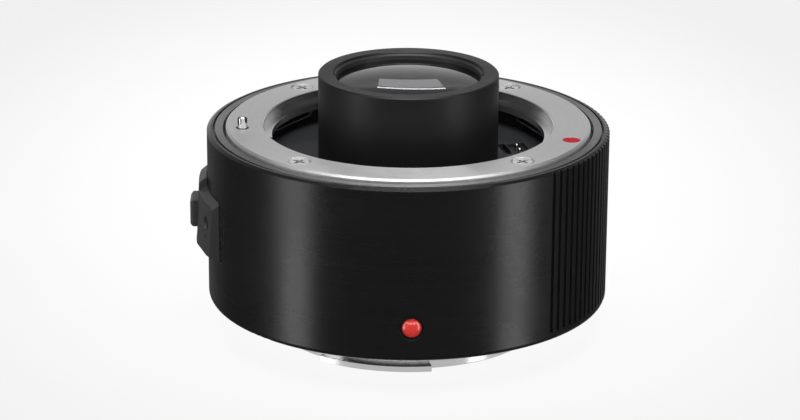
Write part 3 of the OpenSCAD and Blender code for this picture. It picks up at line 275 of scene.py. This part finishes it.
# one finish from its dictionary: two tones, gloss range, grain, lathe marks, dust and a softened edge
def makeFinish(name, look):
    material = bpy.data.materials.new(name)
    material.use_nodes = True
    tree = material.node_tree
    shader = tree.nodes["Principled BSDF"]
    grain = useEffect(tree, "grain", Scale=look["grainScale"], Contrast=look.get("grainContrast", 0.8))
    smudge = useEffect(tree, "smudge", Scale=finishBase["smudgeScale"])
    tone = grain
    height = addMath(tree, "MULTIPLY", grain, look["grainDepth"])
    if "turnedDensity" in look:
        marks = useEffect(tree, "turned", Density=look["turnedDensity"], Waver=look.get("turnedWaver", 1.5))
        tone = addMath(tree, "MULTIPLY", addMath(tree, "ADD", grain, marks), 0.5)
        height = addMath(tree, "ADD", height, addMath(tree, "MULTIPLY", marks, look["turnedDepth"]))
    colour = mixColour(tree, tone, look["dark"], look["light"])
    if "dust" in look:
        specks = useEffect(tree, "dust", Scale=finishBase["dustScale"], Amount=look["dust"])
        colour = mixColour(tree, specks, colour, finishBase["dustColour"])
    gloss = addMath(
        tree, "ADD", addMath(tree, "MULTIPLY", smudge, 0.6), addMath(tree, "MULTIPLY", tone, 0.4),
    )
    rough = addRange(tree, gloss, 0.0, 1.0, *look["rough"])
    if "polishedBelow" in look:
        polish = addRange(tree, addRadius(tree), *look["polishedBelow"], look["polish"], 1.0)
        rough = addMath(tree, "MULTIPLY", rough, polish)
    bump = addNode(tree, "ShaderNodeBump", Strength=look["bump"], Distance=finishBase["bumpDepth"])
    tree.links.new(height, bump.inputs["Height"])
    if "edge" in look:
        soft = addNode(tree, "ShaderNodeBevel", {"samples": 4}, Radius=look["edge"])
        tree.links.new(soft.outputs[0], bump.inputs["Normal"])
    tree.links.new(colour, shader.inputs["Base Color"])
    tree.links.new(rough, shader.inputs["Roughness"])
    tree.links.new(bump.outputs[0], shader.inputs["Normal"])
    shader.inputs["Metallic"].default_value = look.get("metal", 0.0)
    shader.inputs["Specular IOR Level"].default_value = look.get("specular", 0.5)
    if "brushed" in look:
        tree.links.new(addOutward(tree), shader.inputs["Tangent"])
        shader.inputs["Anisotropic"].default_value = look["brushed"]
    shader.inputs["Coat Weight"].default_value = look.get("coat", 0.0)
    shader.inputs["Coat Roughness"].default_value = look.get("coatRough", 0.1)
    return material


def dress(material, *names):
    for name in names:
        slots = nodes[name].data.materials
        slots.clear()
        slots.append(material)


barrelBlack = {
    "dark": (0.0055, 0.0055, 0.0058), "light": (0.0115, 0.0115, 0.012),
    "rough": (0.25, 0.32), "specular": 0.5,
    "grainScale": 5200.0, "grainDepth": 0.55,
    "turnedDensity": 5200.0, "turnedDepth": 0.25,
    "bump": 0.25, "dust": 0.02, "edge": 0.00008,
}
dress(makeFinish("barrelBlack", barrelBlack), "barrel")

trimGrey = {
    "dark": (0.29, 0.29, 0.291), "light": (0.36, 0.36, 0.361),
    "metal": 1.0, "rough": (0.45, 0.55), "grainScale": 5200.0, "grainDepth": 0.5,
    "turnedDensity": 6000.0, "turnedDepth": 0.4,
    "bump": 0.2, "dust": 0.02, "edge": 0.00012, "brushed": 0.72,
}
dress(makeFinish("trimGrey", trimGrey), "front_trim_ring")

mountSteel = {
    "dark": (0.74, 0.74, 0.742), "light": (0.88, 0.88, 0.882),
    "metal": 1.0, "rough": (0.5, 0.6), "polishedBelow": (0.02585, 0.02595), "polish": 0.4,
    "grainScale": 3000.0, "grainDepth": 0.2, "grainContrast": 0.5,
    "turnedDensity": 9000.0, "turnedDepth": 0.6, "turnedWaver": 2.5,
    "bump": 0.18, "edge": 0.00006, "brushed": 0.38,
}
dress(makeFinish("mountSteel", mountSteel), "lens_mount_ring")

screwSteel = {
    "dark": (0.55, 0.55, 0.55), "light": (0.75, 0.75, 0.745),
    "metal": 1.0, "rough": (0.28, 0.4),
    "grainScale": 2500.0, "grainDepth": 0.3, "bump": 0.15, "edge": 0.00012,
}
dress(
    makeFinish("screwSteel", screwSteel), "camera_mount_screws", "board_screws", "rear_block_screws",
    "baffle_screws", "barrel_screws", "carrier_screw", "pin_clip",
)

flangeScrewSteel = {
    "dark": (0.78, 0.78, 0.78), "light": (0.92, 0.92, 0.915),
    "metal": 1.0, "rough": (0.2, 0.28),
    "grainScale": 2500.0, "grainDepth": 0.3, "bump": 0.15, "edge": 0.0003,
}
dress(makeFinish("flangeScrewSteel", flangeScrewSteel), "lens_mount_screws")

mountChrome = {
    "dark": (0.68, 0.68, 0.685), "light": (0.76, 0.76, 0.765),
    "metal": 1.0, "rough": (0.12, 0.2),
    "grainScale": 2600.0, "grainDepth": 0.15,
    "turnedDensity": 8000.0, "turnedDepth": 0.5, "bump": 0.12, "edge": 0.00008,
}
dress(makeFinish("mountChrome", mountChrome), "camera_mount_ring")

pinSteel = {
    "dark": (0.6, 0.6, 0.6), "light": (0.74, 0.74, 0.735),
    "metal": 1.0, "rough": (0.1, 0.18),
    "grainScale": 3000.0, "grainDepth": 0.2, "bump": 0.1, "edge": 0.00015,
}
dress(makeFinish("pinSteel", pinSteel), "lock_pin")

springSteel = {
    "dark": (0.38, 0.38, 0.39), "light": (0.55, 0.55, 0.56),
    "metal": 1.0, "rough": (0.2, 0.32),
    "grainScale": 3500.0, "grainDepth": 0.3, "bump": 0.15, "edge": 0.00005,
}
springFinish = makeFinish("springSteel", springSteel)
dress(springFinish, "bayonet_springs", "contact_springs", "release_spring")

tubeBlack = {
    "dark": (0.0055, 0.0055, 0.0058), "light": (0.011, 0.011, 0.0114),
    "rough": (0.4, 0.5), "specular": 0.38,
    "grainScale": 6000.0, "grainDepth": 0.6,
    "turnedDensity": 4200.0, "turnedDepth": 0.35, "bump": 0.25, "dust": 0.02, "edge": 0.0001,
}
dress(
    makeFinish("tubeBlack", tubeBlack), "lens_tube", "rear_retaining_ring", "front_spacer", "rear_spacer",
)

retainerGrey = {
    "dark": (0.026, 0.026, 0.027), "light": (0.04, 0.04, 0.041),
    "rough": (0.4, 0.5), "grainScale": 6000.0, "grainDepth": 0.5,
    "turnedDensity": 5000.0, "turnedDepth": 0.3, "bump": 0.2, "edge": 0.00006,
}
dress(makeFinish("retainerGrey", retainerGrey), "front_retaining_ring")

frameBlack = {
    "dark": (0.016, 0.017, 0.02), "light": (0.03, 0.031, 0.036),
    "rough": (0.5, 0.62), "grainScale": 4200.0, "grainDepth": 0.8, "bump": 0.3, "dust": 0.04,
}
dress(makeFinish("frameBlack", frameBlack), "main_frame")

mouldedBlack = {
    "dark": (0.011, 0.011, 0.0115), "light": (0.021, 0.021, 0.0215),
    "rough": (0.42, 0.55), "grainScale": 3600.0, "grainDepth": 0.9,
    "bump": 0.35, "dust": 0.03, "edge": 0.00012,
}
dress(makeFinish("mouldedBlack", mouldedBlack), "rear_baffle", "contact_block", "rear_contact_block")

guardBlack = {
    "dark": (0.03, 0.03, 0.0305), "light": (0.05, 0.05, 0.0505),
    "rough": (0.42, 0.55), "grainScale": 3600.0, "grainDepth": 0.9,
    "bump": 0.35, "dust": 0.03, "edge": 0.00018,
}
dress(makeFinish("guardBlack", guardBlack), "release_guard", "release_knob")

redEnamel = {
    "dark": (0.74, 0.036, 0.028), "light": (0.87, 0.056, 0.044),
    "rough": (0.22, 0.3), "grainScale": 1800.0, "grainDepth": 0.25,
    "bump": 0.1, "coat": 1.0, "coatRough": 0.06,
}
dress(makeFinish("redEnamel", redEnamel), "index_dome")

redPaint = {
    "dark": (0.4, 0.01, 0.022), "light": (0.52, 0.016, 0.034),
    "rough": (0.6, 0.7), "specular": 0.12, "grainScale": 2400.0, "grainDepth": 0.5, "bump": 0.15,
}
dress(makeFinish("redPaint", redPaint), "lens_index_dot")

turnedBrass = {
    "dark": (0.55, 0.37, 0.13), "light": (0.72, 0.52, 0.22),
    "metal": 1.0, "rough": (0.25, 0.38), "grainScale": 3000.0, "grainDepth": 0.2,
    "turnedDensity": 6000.0, "turnedDepth": 0.5, "bump": 0.15,
}
dress(makeFinish("turnedBrass", turnedBrass), "tube_lock_ring")

goldPlate = {
    "dark": (0.74, 0.5, 0.17), "light": (0.88, 0.64, 0.26),
    "metal": 1.0, "rough": (0.14, 0.24), "grainScale": 5000.0, "grainDepth": 0.2,
    "bump": 0.1, "edge": 0.00008,
}
dress(makeFinish("goldPlate", goldPlate), "rear_contact_pads")

paleNickel = {
    "dark": (0.62, 0.61, 0.58), "light": (0.76, 0.75, 0.72),
    "metal": 1.0, "rough": (0.18, 0.28), "grainScale": 5000.0, "grainDepth": 0.2,
    "bump": 0.1, "edge": 0.00008,
}
pinCount = 10
pinNumbers = range(1, pinCount + 1)
dress(makeFinish("paleNickel", paleNickel), *[f"contact_pin_{number:02d}" for number in pinNumbers])

boardMask = {
    "dark": (0.008, 0.06, 0.022), "light": (0.014, 0.1, 0.038),
    "rough": (0.25, 0.36), "grainScale": 900.0, "grainDepth": 0.5, "bump": 0.2, "coat": 0.3,
}
dress(makeFinish("boardMask", boardMask), "circuit_board")

chipBlack = {
    "dark": (0.012, 0.012, 0.012), "light": (0.03, 0.03, 0.03),
    "rough": (0.5, 0.65), "grainScale": 6000.0, "grainDepth": 0.8, "bump": 0.3,
}
dress(makeFinish("chipBlack", chipBlack), "control_chip")

capacitorTan = {
    "dark": (0.32, 0.2, 0.1), "light": (0.45, 0.3, 0.16),
    "rough": (0.35, 0.5), "grainScale": 5000.0, "grainDepth": 0.5, "bump": 0.2,
}
dress(makeFinish("capacitorTan", capacitorTan), "board_capacitors")

flexAmber = {
    "dark": (0.34, 0.13, 0.02), "light": (0.48, 0.2, 0.035),
    "rough": (0.2, 0.32), "grainScale": 1500.0, "grainDepth": 0.3, "bump": 0.12, "coat": 0.3,
}
dress(makeFinish("flexAmber", flexAmber), "link_flex")

sealRubber = {
    "dark": (0.008, 0.008, 0.008), "light": (0.016, 0.016, 0.016),
    "rough": (0.7, 0.85), "grainScale": 4500.0, "grainDepth": 0.9, "bump": 0.3,
}
dress(makeFinish("sealRubber", sealRubber), "rear_seal")

screwBlack = {
    "dark": (0.014, 0.014, 0.0145), "light": (0.04, 0.04, 0.041),
    "metal": 0.6, "rough": (0.32, 0.45), "grainScale": 4000.0, "grainDepth": 0.4,
    "bump": 0.15, "edge": 0.0001,
}
dress(makeFinish("screwBlack", screwBlack), "guard_screws")

pressedSteel = {
    "dark": (0.42, 0.42, 0.425), "light": (0.56, 0.56, 0.565),
    "metal": 1.0, "rough": (0.28, 0.4), "grainScale": 2800.0, "grainDepth": 0.4,
    "bump": 0.2, "edge": 0.0001,
}
dress(makeFinish("pressedSteel", pressedSteel), "release_carrier")
print("metal, paint and plastic finishes set")


# coated glass: clear, with a tinted reflection and a faint trace of dust in its gloss
def makeGlass(name, look):
    material = bpy.data.materials.new(name)
    material.use_nodes = True
    tree = material.node_tree
    shader = tree.nodes["Principled BSDF"]
    smudge = useEffect(tree, "smudge", Scale=look["smudgeScale"])
    tree.links.new(addRange(tree, smudge, 0.0, 1.0, *look["rough"]), shader.inputs["Roughness"])
    colour = mixColour(tree, smudge, look["dark"], look["light"])
    tree.links.new(colour, shader.inputs["Base Color"])
    shader.inputs["Transmission Weight"].default_value = 1.0
    shader.inputs["IOR"].default_value = look["ior"]
    shader.inputs["Specular IOR Level"].default_value = look["specular"]
    shader.inputs["Specular Tint"].default_value = (*look["tint"], 1.0)
    return material


frontGlass = {
    "dark": (0.13, 0.13, 0.13), "light": (0.16, 0.16, 0.16), "tint": (0.95, 0.88, 1.0),
    "ior": 1.6, "specular": 0.5, "rough": (0.0, 0.02), "smudgeScale": 90.0,
}
dress(makeGlass("frontGlass", frontGlass), "front_element", "rear_doublet_rear")

innerGlass = {
    "dark": (0.5, 0.5, 0.5), "light": (0.56, 0.56, 0.56), "tint": (0.9, 0.82, 1.0),
    "ior": 1.52, "specular": 0.15, "rough": (0.0, 0.01), "smudgeScale": 60.0,
}
dress(
    makeGlass("innerGlass", innerGlass), "doublet_front", "doublet_rear", "triplet_front", "triplet_middle",
    "triplet_rear", "rear_doublet_front",
)
print("glass set")


# wound springs: a ring of wire swept up its helix
smoothBelow = math.radians(40)


def makeCoil(name, coil):
    bpy.ops.object.select_all(action="DESELECT")
    bpy.ops.mesh.primitive_circle_add(
        vertices=coil["sides"], radius=coil["wire"] / 2, location=(coil["radius"], 0, coil["wire"] / 2),
        rotation=(math.pi / 2, 0, 0),
    )
    piece = bpy.context.object
    piece.name = name
    bpy.ops.object.transform_apply(location=True, rotation=True, scale=True)
    winding = piece.modifiers.new("winding", "SCREW")
    winding.axis = "Z"
    winding.angle = 2 * math.pi
    winding.iterations = coil["turns"]
    winding.steps = winding.render_steps = coil["steps"]
    winding.screw_offset = (coil["height"] - coil["wire"]) / coil["turns"]
    winding.use_merge_vertices = True
    bpy.ops.object.modifier_apply(modifier="winding")
    bpy.ops.object.mode_set(mode="EDIT")
    bpy.ops.mesh.select_mode(type="EDGE")
    bpy.ops.mesh.select_all(action="DESELECT")
    bpy.ops.mesh.select_non_manifold()
    bpy.ops.mesh.edge_face_add()
    bpy.ops.mesh.select_all(action="SELECT")
    bpy.ops.mesh.normals_make_consistent(inside=False)
    bpy.ops.object.mode_set(mode="OBJECT")
    bpy.ops.object.shade_smooth_by_angle(angle=smoothBelow)
    piece.data.materials.append(springFinish)
    return piece


def placePiece(piece, spot):
    bpy.ops.object.select_all(action="DESELECT")
    bpy.context.view_layer.objects.active = piece
    piece.select_set(True)
    piece.location = spot
    bpy.ops.object.transform_apply(location=True, rotation=True, scale=True)


springLow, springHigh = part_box("release_spring")
releaseWire = 0.0004
releaseCoil = {
    "sides": 12, "steps": 28, "turns": 9, "wire": releaseWire,
    "radius": (springHigh.x - springLow.x - releaseWire) / 2, "height": springHigh.z - springLow.z,
}
releaseSpring = makeCoil("releaseSpring", releaseCoil)
springFoot = Vector(((springLow.x + springHigh.x) / 2, (springLow.y + springHigh.y) / 2, springLow.z))
placePiece(releaseSpring, springFoot)
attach(releaseSpring, "body")
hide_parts("release_spring")
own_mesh(releaseSpring)

contactLow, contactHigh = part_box("contact_springs")
contactCoil = {
    "sides": 8, "steps": 16, "turns": 4, "wire": 0.00018,
    "radius": 0.00055, "height": contactHigh.z - contactLow.z,
}
# the coil that is wound goes under the last pin, its copies under the others
lastCoil = makeCoil(f"contactSpring{pinCount:02d}", contactCoil)
for number in pinNumbers:
    pinLow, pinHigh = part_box(f"contact_pin_{number:02d}")
    coil = lastCoil
    if number < pinCount:
        coil = lastCoil.copy()
        coil.data = lastCoil.data.copy()
        coil.name = f"contactSpring{number:02d}"
        scene.collection.objects.link(coil)
    foot = Vector(((pinLow.x + pinHigh.x) / 2, (pinLow.y + pinHigh.y) / 2, contactLow.z))
    placePiece(coil, foot)
    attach(coil, "body")
    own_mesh(coil)
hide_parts("contact_springs")
print("springs wound")


# pale floor under the rear mount: it glows evenly, a little less far out, and gloss sees it close by only
floorLook = {
    "size": 12.0, "dark": (0.055, 0.055, 0.055), "light": (0.065, 0.065, 0.065),
    "smudgeScale": 4.0, "rough": 0.8, "specular": 0.1,
    "centreY": 0.082, "reach": (0.0806, 0.13), "fade": (0.45, 1.5), "glow": (0.95, 0.81),
    "glossReach": (0.031, 0.036), "glossLoss": 0.35, "diffuseShare": 0.5,
}


def makeFloor(look):
    bpy.ops.object.select_all(action="DESELECT")
    bpy.ops.mesh.primitive_plane_add(size=look["size"], location=(0, 0, cadBox[0][2]))
    floor = bpy.context.object
    floor.name = "paleFloor"
    material = bpy.data.materials.new("paleFloor")
    material.use_nodes = True
    tree = material.node_tree
    shader = tree.nodes["Principled BSDF"]
    place = addNode(tree, "ShaderNodeTexCoord").outputs["Object"]
    parts = addNode(tree, "ShaderNodeSeparateXYZ", Vector=place).outputs
    smudge = useEffect(tree, "smudge", Scale=look["smudgeScale"])
    colour = mixColour(tree, smudge, look["dark"], look["light"])
    tree.links.new(colour, shader.inputs["Base Color"])
    shader.inputs["Roughness"].default_value = look["rough"]
    shader.inputs["Specular IOR Level"].default_value = look["specular"]
    acrossX = addMath(tree, "DIVIDE", parts["X"], look["reach"][0])
    fromCentre = addMath(tree, "SUBTRACT", parts["Y"], look["centreY"])
    acrossY = addMath(tree, "DIVIDE", fromCentre, look["reach"][1])
    spread = addNode(tree, "ShaderNodeCombineXYZ", X=acrossX, Y=acrossY).outputs[0]
    out = addNode(tree, "ShaderNodeVectorMath", {"operation": "LENGTH"}, Vector=spread).outputs["Value"]
    shader.inputs["Emission Color"].default_value = (1, 1, 1, 1)
    tree.links.new(addRange(tree, out, *look["fade"], *look["glow"]), shader.inputs["Emission Strength"])
    radius = addNode(tree, "ShaderNodeVectorMath", {"operation": "LENGTH"}, Vector=place).outputs["Value"]
    far = addRange(tree, radius, *look["glossReach"], look["glossLoss"], 1.0)
    rays = addNode(tree, "ShaderNodeLightPath").outputs
    unseen = addMath(
        tree, "ADD", addMath(tree, "MULTIPLY", far, rays["Is Glossy Ray"]),
        addMath(tree, "MULTIPLY", rays["Is Diffuse Ray"], 1 - look["diffuseShare"]),
    )
    both = addNode(tree, "ShaderNodeMixShader", Fac=unseen)
    tree.links.new(shader.outputs[0], both.inputs[1])
    tree.links.new(addNode(tree, "ShaderNodeBsdfTransparent").outputs[0], both.inputs[2])
    tree.links.new(both.outputs[0], tree.nodes["Material Output"].inputs["Surface"])
    floor.data.materials.append(material)
    floor.visible_shadow = False


makeFloor(floorLook)


def makeLight(name, size, power):
    data = bpy.data.lights.new(name, "AREA")
    data.shape = "RECTANGLE"
    data.size, data.size_y = size
    data.energy = power
    light = bpy.data.objects.new(name, data)
    scene.collection.objects.link(light)
    return light


# soft boxes, placed by the side they stand on, their height over the horizon and their distance
lightTarget = Vector((0, 0, 0.02))


def addSoftbox(name, box):
    light = makeLight(name, box["size"], box["power"])
    side, rise = math.radians(box["side"]), math.radians(box["rise"])
    out = Vector((math.cos(rise) * math.sin(side), -math.cos(rise) * math.cos(side), math.sin(rise)))
    light.location = lightTarget + out * box["distance"]
    light.rotation_euler = out.to_track_quat("Z", "Y").to_euler()


softboxes = {
    "leftBox": {"side": -67.0, "rise": 0.0, "distance": 0.9, "size": (0.28, 0.9), "power": 2.3},
    "rightBox": {"side": 61.0, "rise": 0.0, "distance": 0.9, "size": (0.28, 0.9), "power": 2.3},
    "topBox": {"side": 0.0, "rise": 80.0, "distance": 1.1, "size": (0.9, 0.7), "power": 10.0},
}
for name, box in softboxes.items():
    addSoftbox(name, box)


# level lights overhead at the back, each a row of slats whose ends are set back from its middle
def hangSlats(name, row):
    across, along = row["size"][0] / row["slats"], row["size"][1]
    for i in range(row["slats"]):
        offset = (i + 0.5) * across - row["size"][0] / 2
        setBack = row["bow"] * (2 * offset / row["size"][0]) ** 2
        slat = makeLight(f"{name}{i}", (across, along), row["power"] / row["slats"])
        slat.location = (row["spot"][0] + offset, row["spot"][1] + setBack, row["spot"][2])


backLights = {
    "backBox": {
        "spot": (0.0235, 0.827, 0.43), "size": (0.136, 0.266), "bow": 0.1, "slats": 21, "power": 0.1,
    },
    "backStrip": {
        "spot": (0.0235, 0.68, 0.43), "size": (0.14, 0.024), "bow": 0.07, "slats": 21, "power": 0.055,
    },
}
for name, row in backLights.items():
    hangSlats(name, row)

# room light: a lit panel low behind, a fill card in front, little from elsewhere
roomLight = {
    "rest": 0.02, "panel": 0.82, "overPanel": 0.32, "underPanel": 0.1, "panelTop": (0.08, 0.4),
    "panelFoot": (-0.28, 0.0), "behind": (0.5, 0.9), "card": 2.6, "cardFoot": (0.36, 0.44),
    "cardTop": (0.57, 0.66), "ahead": (-0.7, -0.1),
}


def makeRoom(look):
    world = bpy.data.worlds.new("studioRoom")
    scene.world = world
    world.use_nodes = True
    tree = world.node_tree
    heading = addNode(tree, "ShaderNodeTexCoord").outputs["Generated"]
    ray = addNode(tree, "ShaderNodeSeparateXYZ", Vector=heading).outputs
    behind = addRange(tree, ray["Y"], *look["behind"], 0.0, 1.0)
    upper = addRange(tree, ray["Z"], *look["panelTop"], look["panel"], look["overPanel"])
    lower = addRange(tree, ray["Z"], *look["panelFoot"], look["underPanel"] / look["panel"], 1.0)
    panel = addMath(tree, "MULTIPLY", behind, addMath(tree, "MULTIPLY", upper, lower))
    ahead = addRange(tree, ray["Y"], *look["ahead"], look["card"], 0.0)
    inCard = addMath(
        tree, "MULTIPLY", addRange(tree, ray["Z"], *look["cardFoot"], 0.0, 1.0),
        addRange(tree, ray["Z"], *look["cardTop"], 1.0, 0.0),
    )
    card = addMath(tree, "MULTIPLY", ahead, inCard)
    glow = addMath(tree, "ADD", addMath(tree, "ADD", panel, card), look["rest"])
    shader = tree.nodes["Background"]
    shader.inputs["Color"].default_value = (1, 1, 1, 1)
    tree.links.new(glow, shader.inputs["Strength"])


makeRoom(roomLight)
print("stage lit")
